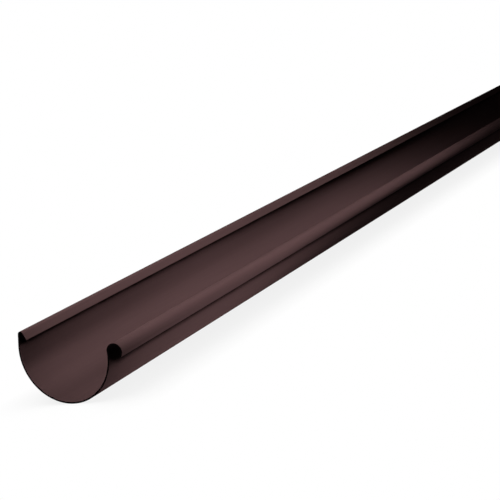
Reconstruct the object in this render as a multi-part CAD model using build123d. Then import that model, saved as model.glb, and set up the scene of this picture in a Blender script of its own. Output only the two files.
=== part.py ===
from build123d import *
from math import atan2, degrees
import os

# Gutter section: one straight length of half-round eaves gutter, extruded in plastic. Millimetres.
# The profile is drawn as it hangs on a house, with its two rims level. There x runs out from the wall
# to the front, y runs up, and the centre of the half round is the origin.
# The finished length lies on its round bottom on a level floor: it runs along Y, its bead is at +X,
# up is +Z, and the origin is on the floor, in the middle of its box.

# Driving dimensions
length = 3000.0       # one standard length
outer_radius = 62.5   # outside of the half round
wall = 2.0            # the same all round the profile
bead_rise = 9.9       # degrees that the half round runs on above its centre, up to the bead
bead_radius = 10.25   # outside of the front bead
bead_wrap = 220.0     # degrees that the bead curls out, over and down, to its rounded edge
rim_height = 18.2     # top of the rear rim above the centre of the half round
hook_radius = 3.75    # outside of the fold along the top of the rear wall
hook_turn = 147.0     # degrees that the fold turns, into the gutter and down
hook_flap = 8.8       # straight part of the hook, from the fold to its rounded edge

# Places that follow from them
middle_radius = outer_radius - wall / 2
bead_middle_radius = bead_radius - wall / 2
hook_middle_radius = hook_radius - wall / 2
bead_centre = Vector(outer_radius - wall + bead_radius, 0).rotate(Axis.Z, bead_rise)
hook_centre = Vector(hook_radius - outer_radius, rim_height - hook_radius)
rear_level = 180.0


def gutter_profile():
    """The section across the gutter, with its rims level, as one face."""
    with BuildSketch() as profile:
        with BuildLine():
            fold = CenterArc(hook_centre, hook_middle_radius, rear_level - hook_turn, hook_turn)
            flap = Line(fold @ 0, (fold @ 0) - (fold % 0) * hook_flap)
            Line(fold @ 1, (-middle_radius, 0))
            CenterArc((0, 0), middle_radius, rear_level, 180 + bead_rise)
            bead = CenterArc(bead_centre, bead_middle_radius, rear_level + bead_rise, -bead_wrap)
        trace(line_width=wall)
        with Locations(flap @ 1, bead @ 1):
            Circle(wall / 2)
    return profile.sketch


def at_rest(profile):
    """The profile rolled until its centre of gravity is below the centre of the half round."""
    gravity = profile.face().center(CenterOf.MASS)
    rolled = Rotation(0, 0, -degrees(atan2(gravity.X, -gravity.Y))) * profile
    box = rolled.bounding_box()
    return Pos(-box.center().X, -box.min.Y) * rolled


gutter_section = extrude(Plane.XZ * at_rest(gutter_profile()), amount=length / 2, both=True)

os.makedirs("parts", exist_ok=True)
export_step(gutter_section, "parts/gutter_section.step")
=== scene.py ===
from math import atan, cos, degrees, radians, sin

import bpy
from mathutils import Matrix, Vector


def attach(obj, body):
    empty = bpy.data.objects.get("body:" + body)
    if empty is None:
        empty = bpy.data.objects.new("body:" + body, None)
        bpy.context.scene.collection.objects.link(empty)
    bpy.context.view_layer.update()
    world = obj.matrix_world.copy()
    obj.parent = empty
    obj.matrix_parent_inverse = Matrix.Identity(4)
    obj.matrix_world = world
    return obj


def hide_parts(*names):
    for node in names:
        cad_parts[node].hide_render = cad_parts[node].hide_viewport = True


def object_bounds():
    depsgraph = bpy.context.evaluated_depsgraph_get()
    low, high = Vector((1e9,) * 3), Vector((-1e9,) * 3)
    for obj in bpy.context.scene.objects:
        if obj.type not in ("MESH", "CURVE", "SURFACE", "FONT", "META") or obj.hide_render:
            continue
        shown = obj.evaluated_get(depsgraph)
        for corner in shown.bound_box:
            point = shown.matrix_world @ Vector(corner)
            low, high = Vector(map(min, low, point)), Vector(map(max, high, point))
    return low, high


# The gutter's wall as one mesh with its finish, the photo's camera, and a plain studio.
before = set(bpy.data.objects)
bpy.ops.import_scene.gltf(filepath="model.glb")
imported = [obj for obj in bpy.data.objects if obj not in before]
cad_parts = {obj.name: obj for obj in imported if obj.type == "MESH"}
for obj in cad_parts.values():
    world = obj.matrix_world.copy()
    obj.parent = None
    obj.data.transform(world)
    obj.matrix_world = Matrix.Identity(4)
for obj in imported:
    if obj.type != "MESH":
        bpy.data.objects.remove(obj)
cad_low, cad_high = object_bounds()

# Lengths are in metres and angles in degrees.
MM = 0.001

# Sizes of the section. It is drawn with its two rims level: x runs out to the front, z up, and the centre of
# the half round is the origin.
OUTER_RADIUS = 62.5 * MM   # outside of the half round
WALL = 2.0 * MM            # the same all round the section
BEAD_RISE = 9.9            # the half round runs on this far above its centre, up to the bead
BEAD_RADIUS = 10.25 * MM   # outside of the front bead
BEAD_WRAP = 220.0          # how far the bead curls out, over and down
RIM_HEIGHT = 18.2 * MM     # top of the rear rim above the centre of the half round
HOOK_RADIUS = 3.75 * MM    # outside of the fold along the rear rim
HOOK_TURN = 147.0          # how far the fold turns, in and down
HOOK_FLAP = 8.8 * MM       # straight part of the hook
EDGE_BREAK = 0.1 * MM      # the saw's edges are broken by this much

# How finely the mesh is divided
BEND_STEP = 0.75 * MM      # points on a bend are at least this far apart,
BEND_TURN = 3.0            # and the wall turns at least this much from one to the next,
BEND_STEPS = 4             # but a bend has at least this many steps
FLAP_STEPS = 8             # down the hook's flap
REAR_STEPS = 12            # down the upright rear wall
EDGE_STEPS = 8             # round the half circle at each free edge
LENGTH_STEPS = 40          # along the length

# The camera, from the centre of the half round at the near end, while the rims are level
CAMERA_AT = (0.9048, -1.4003, 0.5823)
CAMERA_AZIMUTH = 25.31
CAMERA_ELEVATION = 15.45
CAMERA_LENS = 107.34       # in millimetres,
CAMERA_SENSOR = 36         # as is the sensor's width
CAMERA_SIGHT = 200         # how far it sees

# Patterns of noise: how tightly it is packed along x, y and z (less than 1 draws it out that way), its scale,
# detail and roughness. The die draws its marks out along the length, and the saw across the section.
BANDS = ((1, 0.02, 1), 45, 2, 0.5)
DIE_LINES = ((1, 0.02, 1), 420, 3, 0.6)
CLOUDS = ((1, 0.3, 1), 9, 3, 0.5)
RIPPLES = ((1, 0.6, 1), 230, 2, 0.5)
GRAIN = ((1, 1, 1), 1100, 2, 0.5)
SAW_TEETH = ((0.06, 1, 1), 1900, 3, 0.6)
CHIPS = ((1, 1, 1), 2600, 2, 0.5)
NOISE_RANGE = (0.3, 0.7)   # where most of a noise's values lie

# The skin, as it leaves the die. Each colour has its place in the range of the tone.
SKIN_COLOURS = (
    (0.30, (0.0525, 0.0292, 0.0296)),
    (0.50, (0.0580, 0.0323, 0.0327)),
    (0.70, (0.0640, 0.0358, 0.0362)),
)
SKIN_SPECULAR = 0.002      # next to no gloss
SKIN_ROUGHNESS = (0.82, 0.98)
SKIN_RELIEF = 0.03 * MM    # depth of its lines, ripples and grain

# The sawn ends: their saw marks are real, and their near-black colour is painted shade
SAWN_PAINTED_SHADE_COLOURS = (
    (0.32, (0.0030, 0.0017, 0.0017)),
    (0.55, (0.0050, 0.0030, 0.0030)),
    (0.72, (0.0090, 0.0054, 0.0054)),
)
SAWN_SPECULAR = 0.02
SAWN_ROUGHNESS = (0.7, 0.9)
SAWN_RELIEF = 0.06 * MM    # depth of the saw's marks

# Painted shade: the skin's colour goes dark in narrow hollows, and further out at the bead, where shade falls.
HOLLOW_REACH = 40 * MM     # how near the walls of a hollow are
HOLLOW_RAYS = 32           # in how many directions that is tried
HOLLOW_SHADE = (0.76, 0.86, 0.05, 1.0)   # how open it is, from and to, and the share of colour that leaves
BEAD_SIDE = (30 * MM, 50 * MM)           # the bead's side comes in from here to here, out to the front
BEAD_SHADE = 0.07          # how much less open it counts there

# The floor is like a light table: light from below comes through it.
FLOOR_HALF = 30            # half its width
FLOOR_TINT = 0.05          # its grey, where light falls on it
FLOOR_COVER = 0.40         # share of the light from below that it holds back
FLOOR_REACH = 70 * MM      # how near the gutter is where it shades the floor
FLOOR_RAYS = 8             # in how many directions that is tried
FLOOR_SHADE = (0.35, 1.0, 0.86, 1.0)     # how open the floor is, from and to, and how white that leaves it

# The studio around it. Heights in it are sines of elevation.
AMBIENT = 0.05             # strength of the plain light from all around
HORIZON_TOP = 0.17         # the white behind the floor reaches up to here
CEILING_FROM = 0.40        # above here it is as dim as it gets
CEILING = 0.10             # strength of the ceiling, for reflections

# Lamps that face the gutter: name, angle above the floor on the bead's side, distance, place along the gutter,
# size along it and across, spread, and power in watts. As in the photo, the near end is lit most, the light
# fades along the length, and the lower front is lit from below. The last three light the far end and the rear,
# which the camera doesn't see.
LAMPS = (
    ("over_near_end", 75, 1.0, -1.50, 0.25, 0.25, 90, 2.2),
    ("over_middle", 75, 1.0, -0.60, 0.40, 0.40, 90, 1.25),
    ("overhead_near_end", 95, 1.0, -1.45, 0.25, 0.25, 90, 0.44),
    ("behind_near_end", 115, 1.0, -1.45, 0.25, 0.25, 60, 0.35),
    ("front_middle", 52, 1.0, -0.70, 0.40, 0.40, 90, 1.01),
    ("front_far", 60, 1.0, -0.45, 0.30, 0.30, 50, 0.30),
    ("front_high", 40, 1.0, -1.10, 0.25, 0.25, 60, 0.17),
    ("front_high_middle", 44, 1.0, -0.65, 0.30, 0.30, 50, 0.16),
    ("front_low_near_end", 28, 1.0, -1.35, 0.20, 0.20, 60, 0.43),
    ("front_low", 28, 1.0, -1.05, 0.20, 0.20, 60, 0.62),
    ("level_with_wall", -4, 0.5, -0.90, 0.05, 0.05, 90, 0.06),
    ("below_table", -68, 0.6, -1.26, 0.50, 0.10, 60, 0.95),
    ("over_far_end", 80, 0.6, 1.12, 0.80, 0.25, 40, 1.2),
    ("front_far_end", 30, 0.6, 1.12, 0.80, 0.20, 40, 0.8),
    ("rear_wall", 178, 0.9, 0.0, 2.60, 0.20, 140, 9.0),
)
LAMP_LINE = 0.06           # height of the line along the gutter that they face


def arc(centre, radius, start, sweep):
    """Points of an arc, each with its unit direction of travel."""
    turn = max(BEND_TURN, degrees(BEND_STEP / radius))
    count = max(BEND_STEPS, round(abs(sweep) / turn))
    side = 1 if sweep > 0 else -1
    made = []
    for i in range(count + 1):
        angle = radians(start + sweep * i / count)
        point = Vector((centre[0] + radius * cos(angle), centre[1] + radius * sin(angle)))
        made.append((point, Vector((-sin(angle), cos(angle))) * side))
    return made


def straight(first, last, count):
    """Points of a straight run, each with its unit direction of travel."""
    first, last = Vector(first), Vector(last)
    return [(first.lerp(last, i / count), (last - first).normalized()) for i in range(count + 1)]


def middle_line():
    """The middle of the wall, from the hook's free edge to the bead's free edge."""
    middle_radius = OUTER_RADIUS - WALL / 2
    hook_centre = (HOOK_RADIUS - OUTER_RADIUS, RIM_HEIGHT - HOOK_RADIUS)
    bead_reach = OUTER_RADIUS - WALL + BEAD_RADIUS
    bead_centre = (bead_reach * cos(radians(BEAD_RISE)), bead_reach * sin(radians(BEAD_RISE)))
    fold = arc(hook_centre, HOOK_RADIUS - WALL / 2, 180 - HOOK_TURN, HOOK_TURN)
    fold_start, fold_way = fold[0]
    line = straight(fold_start - fold_way * HOOK_FLAP, fold_start, FLAP_STEPS)[:-1]
    line += fold[:-1]
    line += straight(fold[-1][0], (-middle_radius, 0), REAR_STEPS)[:-1]
    line += arc((0, 0), middle_radius, 180, 180 + BEAD_RISE)[:-1]
    line += arc(bead_centre, BEAD_RADIUS - WALL / 2, 180 + BEAD_RISE, -BEAD_WRAP)
    return line


def round_end(point, way, left, half):
    """The inner points of the half circle that closes the wall at a free edge."""
    angles = [radians(180 * i / EDGE_STEPS) for i in range(1, EDGE_STEPS)]
    return [point + left * half * cos(a) + way * half * sin(a) for a in angles]


def outline(line, half):
    """The closed outline of the wall, half to each side of its middle line."""
    lefts = [Vector((-way.y, way.x)) for _, way in line]
    water_side = [p + n * half for (p, _), n in zip(line, lefts)]
    under_side = [p - n * half for (p, _), n in zip(line, lefts)]
    (first, first_way), (last, last_way) = line[0], line[-1]
    lip = round_end(last, last_way, lefts[-1], half)
    tip = round_end(first, -first_way, -lefts[0], half)
    return water_side + lip + under_side[::-1] + tip


def centre_of_gravity(ring):
    """The centroid of a closed outline."""
    area = x = z = 0.0
    for a, b in zip(ring, ring[1:] + ring[:1]):
        cross = a.x * b.y - b.x * a.y
        area += cross
        x += (a.x + b.x) * cross
        z += (a.y + b.y) * cross
    return Vector((x, z)) / (3 * area)


LINE = middle_line()
RING = outline(LINE, WALL / 2)
INNER_RING = outline(LINE, WALL / 2 - EDGE_BREAK)
gravity = centre_of_gravity(RING)
ROLL = atan(-gravity.x / gravity.y)   # in radians


def rolled(point):
    """A point of the level section once the gutter has rolled to its rest."""
    return Vector((point.x * cos(ROLL) + point.y * sin(ROLL), point.y * cos(ROLL) - point.x * sin(ROLL)))


at_rest = [rolled(p) for p in RING]
ARC_CENTRE = Vector((-(min(p.x for p in at_rest) + max(p.x for p in at_rest)) / 2, OUTER_RADIUS))


def to_row(point, y):
    """A point of the level section, carried to its place in the row frame."""
    p = rolled(point) + ARC_CENTRE
    return (p.x, y, p.y)


def end_faces():
    """The faces of a sawn end, as indices into the outline: a strip along the wall and its two round tips."""
    side = len(LINE)
    count = len(RING)
    under = [side + count // 2 - 1 - i for i in range(side)]
    strip = [(i, i + 1, under[i + 1], under[i]) for i in range(side - 1)]
    lip = tuple(range(side - 1, under[-1] + 1))
    tip = tuple(range(under[0], count)) + (0,)
    return strip + [lip, tip]


def gutter_mesh():
    """The wall as one closed mesh, with its sawn ends in the second material slot."""
    half = (cad_high.y - cad_low.y) / 2
    body = half - EDGE_BREAK
    along = [-body + 2 * body * i / LENGTH_STEPS for i in range(LENGTH_STEPS + 1)]
    stations = [-half] + along + [half]
    rings = [INNER_RING] + [RING] * len(along) + [INNER_RING]
    points = [to_row(p, y) for ring, y in zip(rings, stations) for p in ring]
    n = len(RING)
    faces = []
    for k in range(len(stations) - 1):
        for i in range(n):
            j = (i + 1) % n
            faces.append((k * n + i, k * n + j, (k + 1) * n + j, (k + 1) * n + i))
    sides = len(faces)
    far_end = (len(stations) - 1) * n
    faces += [tuple(reversed(face)) for face in end_faces()]
    faces += [tuple(far_end + i for i in face) for face in end_faces()]
    extruded = range(n, sides - n)   # the broken edges count as sawn
    mesh = bpy.data.meshes.new("gutter_wall")
    mesh.from_pydata(points, [], faces)
    mesh.polygons.foreach_set("use_smooth", [i in extruded for i in range(len(faces))])
    mesh.polygons.foreach_set("material_index", [0 if i in extruded else 1 for i in range(len(faces))])
    mesh.validate()
    mesh.update()
    return mesh


def add_node(tree, kind, values=None, **settings):
    """A new node, with plain settings by name and input values by name or number."""
    made = tree.nodes.new(kind)
    for name, value in settings.items():
        setattr(made, name, value)
    for name, value in (values or {}).items():
        made.inputs[name].default_value = value
    return made


def new_material(name, specular):
    """A material with its tree and its shader."""
    made = bpy.data.materials.new(name)
    made.use_nodes = True
    tree = made.node_tree
    shader = tree.nodes["Principled BSDF"]
    shader.inputs["Specular IOR Level"].default_value = specular
    return made, tree, shader


def noise(tree, place, packing, scale, detail, roughness):
    """Noise, packed that tightly along each axis."""
    mapping = add_node(tree, "ShaderNodeMapping", {"Scale": packing})
    tree.links.new(place, mapping.inputs["Vector"])
    made = add_node(tree, "ShaderNodeTexNoise", {"Scale": scale, "Detail": detail, "Roughness": roughness})
    tree.links.new(mapping.outputs[0], made.inputs["Vector"])
    return made.outputs["Fac"]


def blend_of(tree, parts):
    """The weighted sum of some values."""
    total = None
    for value, weight in parts:
        step = add_node(tree, "ShaderNodeMath", {1: weight, 2: 0.0}, operation="MULTIPLY_ADD")
        tree.links.new(value, step.inputs[0])
        if total:
            tree.links.new(total, step.inputs[2])
        total = step.outputs[0]
    return total


def ramp(tree, value, low, high, to_low, to_high):
    """A value from one range carried to another."""
    values = {"From Min": low, "From Max": high, "To Min": to_low, "To Max": to_high}
    made = add_node(tree, "ShaderNodeMapRange", values)
    tree.links.new(value, made.inputs["Value"])
    return made.outputs[0]


def colours(tree, value, stops):
    """A colour ramp through the stops."""
    made = add_node(tree, "ShaderNodeValToRGB")
    elements = made.color_ramp.elements
    while len(elements) < len(stops):
        elements.new(0.5)
    for element, (position, colour) in zip(elements, stops):
        element.position = position
        element.color = (*colour, 1)
    tree.links.new(value, made.inputs[0])
    return made.outputs["Color"]


def openness(tree, reach, rays, only_local):
    """The share of directions that meet nothing within reach, counting the surface's own object only or all."""
    settings = {"samples": rays, "only_local": only_local}
    return add_node(tree, "ShaderNodeAmbientOcclusion", {"Distance": reach}, **settings).outputs["AO"]


def painted_shade_in_hollows(tree, colour, place):
    """The colour, with painted shade in the narrow hollows of the hook and the bead, reaching further out at
    the bead.
    """
    open_to_itself = openness(tree, HOLLOW_REACH, HOLLOW_RAYS, True)
    across = add_node(tree, "ShaderNodeSeparateXYZ")
    tree.links.new(place, across.inputs[0])
    bead_side = ramp(tree, across.outputs["X"], *BEAD_SIDE, 0.0, 1.0)
    counted = blend_of(tree, [(open_to_itself, 1.0), (bead_side, -BEAD_SHADE)])
    made = add_node(tree, "ShaderNodeVectorMath", operation="SCALE")
    tree.links.new(colour, made.inputs[0])
    tree.links.new(ramp(tree, counted, *HOLLOW_SHADE), made.inputs["Scale"])
    return made.outputs[0]


def bump(tree, shader, height, depth):
    """Relief of that depth on the surface."""
    made = add_node(tree, "ShaderNodeBump", {"Strength": 1.0, "Distance": depth})
    tree.links.new(height, made.inputs["Height"])
    tree.links.new(made.outputs[0], shader.inputs["Normal"])


def extruded_pvc():
    """Brown rigid PVC as it leaves the die: nearly matte, with faint lines that run the length, and painted
    shade darkening its colour in the hollows.
    """
    made, tree, shader = new_material("extruded_pvc", SKIN_SPECULAR)
    place = add_node(tree, "ShaderNodeTexCoord").outputs["Object"]
    bands = noise(tree, place, *BANDS)
    lines = noise(tree, place, *DIE_LINES)
    clouds = noise(tree, place, *CLOUDS)
    grain = noise(tree, place, *GRAIN)
    ripples = noise(tree, place, *RIPPLES)
    tone = blend_of(tree, [(bands, 0.4), (lines, 0.3), (clouds, 0.2), (grain, 0.1)])
    colour = colours(tree, tone, SKIN_COLOURS)
    # painted shade: the base colour goes dark in the hollows of the hook and the bead
    tree.links.new(painted_shade_in_hollows(tree, colour, place), shader.inputs["Base Color"])
    shine = blend_of(tree, [(bands, 0.35), (lines, 0.35), (clouds, 0.3)])
    tree.links.new(ramp(tree, shine, *NOISE_RANGE, *SKIN_ROUGHNESS), shader.inputs["Roughness"])
    relief = blend_of(tree, [(lines, 0.55), (ripples, 0.35), (grain, 0.1)])
    bump(tree, shader, relief, SKIN_RELIEF)
    return made


def sawn_pvc():
    """The cut ends: darker than the skin as painted shade, dull, and scored across by the saw's teeth."""
    made, tree, shader = new_material("sawn_pvc", SAWN_SPECULAR)
    place = add_node(tree, "ShaderNodeTexCoord").outputs["Object"]
    teeth = noise(tree, place, *SAW_TEETH)
    chips = noise(tree, place, *CHIPS)
    tone = blend_of(tree, [(teeth, 0.65), (chips, 0.35)])
    tree.links.new(colours(tree, tone, SAWN_PAINTED_SHADE_COLOURS), shader.inputs["Base Color"])
    tree.links.new(ramp(tree, chips, *NOISE_RANGE, *SAWN_ROUGHNESS), shader.inputs["Roughness"])
    bump(tree, shader, tone, SAWN_RELIEF)
    return made


gutter = bpy.data.objects.new("gutter_wall", gutter_mesh())
bpy.context.scene.collection.objects.link(gutter)
gutter.data.materials.append(extruded_pvc())
gutter.data.materials.append(sawn_pvc())
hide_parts("gutter_section")
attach(gutter, "root")

scene = bpy.context.scene
camera = bpy.data.objects.new("camera", bpy.data.cameras.new("camera"))
scene.collection.objects.link(camera)
camera.data.lens = CAMERA_LENS
camera.data.sensor_width = CAMERA_SENSOR
camera.data.clip_end = CAMERA_SIGHT
near_end = Matrix.Translation((ARC_CENTRE.x, cad_low.y, ARC_CENTRE.y)) @ Matrix.Rotation(ROLL, 4, "Y")
aim = Matrix.Rotation(radians(CAMERA_AZIMUTH), 4, "Z") @ Matrix.Rotation(radians(90 - CAMERA_ELEVATION), 4, "X")
camera.matrix_world = near_end @ Matrix.Translation(CAMERA_AT) @ aim
scene.camera = camera
scene.view_settings.view_transform = "Standard"


def shown_rays(tree):
    """1 for rays that show the surroundings, straight or in a reflection, and 0 for those that only light."""
    path = add_node(tree, "ShaderNodeLightPath")
    total = path.outputs["Is Camera Ray"]
    for kind in ("Is Glossy Ray", "Is Transmission Ray"):
        step = add_node(tree, "ShaderNodeMath", operation="ADD", use_clamp=True)
        tree.links.new(total, step.inputs[0])
        tree.links.new(path.outputs[kind], step.inputs[1])
        total = step.outputs[0]
    return total


def mixed(tree, amount, first, second):
    """The second shader in place of the first, by that amount."""
    made = add_node(tree, "ShaderNodeMixShader")
    tree.links.new(amount, made.inputs[0])
    tree.links.new(first, made.inputs[1])
    tree.links.new(second, made.inputs[2])
    return made.outputs[0]


def studio_world():
    """White around the horizon and dimmer overhead, and a plain low light on the object from all sides."""
    world = bpy.data.worlds.new("studio")
    world.use_nodes = True
    tree = world.node_tree
    tree.nodes.clear()
    way = add_node(tree, "ShaderNodeTexCoord").outputs["Generated"]
    split = add_node(tree, "ShaderNodeSeparateXYZ")
    tree.links.new(way, split.inputs[0])
    shown = add_node(tree, "ShaderNodeBackground", {"Color": (1, 1, 1, 1)})
    height = split.outputs["Z"]
    tree.links.new(ramp(tree, height, HORIZON_TOP, CEILING_FROM, 1.0, CEILING), shown.inputs["Strength"])
    light = add_node(tree, "ShaderNodeBackground", {"Color": (1, 1, 1, 1), "Strength": AMBIENT})
    out = add_node(tree, "ShaderNodeOutputWorld")
    tree.links.new(mixed(tree, shown_rays(tree), light.outputs[0], shown.outputs[0]), out.inputs[0])
    return world


def studio_floor():
    """A pale floor that light comes through from below. It shows white, with the gutter's soft shade on it."""
    h = FLOOR_HALF
    mesh = bpy.data.meshes.new("floor")
    mesh.from_pydata([(-h, -h, 0), (h, -h, 0), (h, h, 0), (-h, h, 0)], [], [(0, 1, 2, 3)])
    made = bpy.data.objects.new("floor", mesh)
    scene.collection.objects.link(made)
    material, tree, shader = new_material("floor", 0.0)
    shader.inputs["Base Color"].default_value = (FLOOR_TINT, FLOOR_TINT, FLOOR_TINT, 1)
    shader.inputs["Alpha"].default_value = FLOOR_COVER
    white = add_node(tree, "ShaderNodeEmission", {"Color": (1, 1, 1, 1)})
    shade = ramp(tree, openness(tree, FLOOR_REACH, FLOOR_RAYS, False), *FLOOR_SHADE)
    tree.links.new(shade, white.inputs["Strength"])
    surface = tree.nodes["Material Output"].inputs["Surface"]
    tree.links.new(mixed(tree, shown_rays(tree), shader.outputs[0], white.outputs[0]), surface)
    made.data.materials.append(material)
    return made


def softbox(name, at, back, size, spread, power):
    """A lamp with its back turned that way, whose light opens out to a spread."""
    lamp = bpy.data.lights.new(name, "AREA")
    lamp.shape = "RECTANGLE"
    lamp.size, lamp.size_y = size
    lamp.spread = radians(spread)
    lamp.energy = power
    made = bpy.data.objects.new(name, lamp)
    made.location = at
    made.rotation_euler = Vector(back).to_track_quat("Z", "Y").to_euler()
    made.visible_camera = False
    scene.collection.objects.link(made)


scene.world = studio_world()
floor = studio_floor()
for name, angle, far, y, along, across, spread, power in LAMPS:
    away = Vector((cos(radians(angle)), 0, sin(radians(angle))))
    softbox(name, away * far + Vector((0, y, LAMP_LINE)), away, (along, across), spread, power)
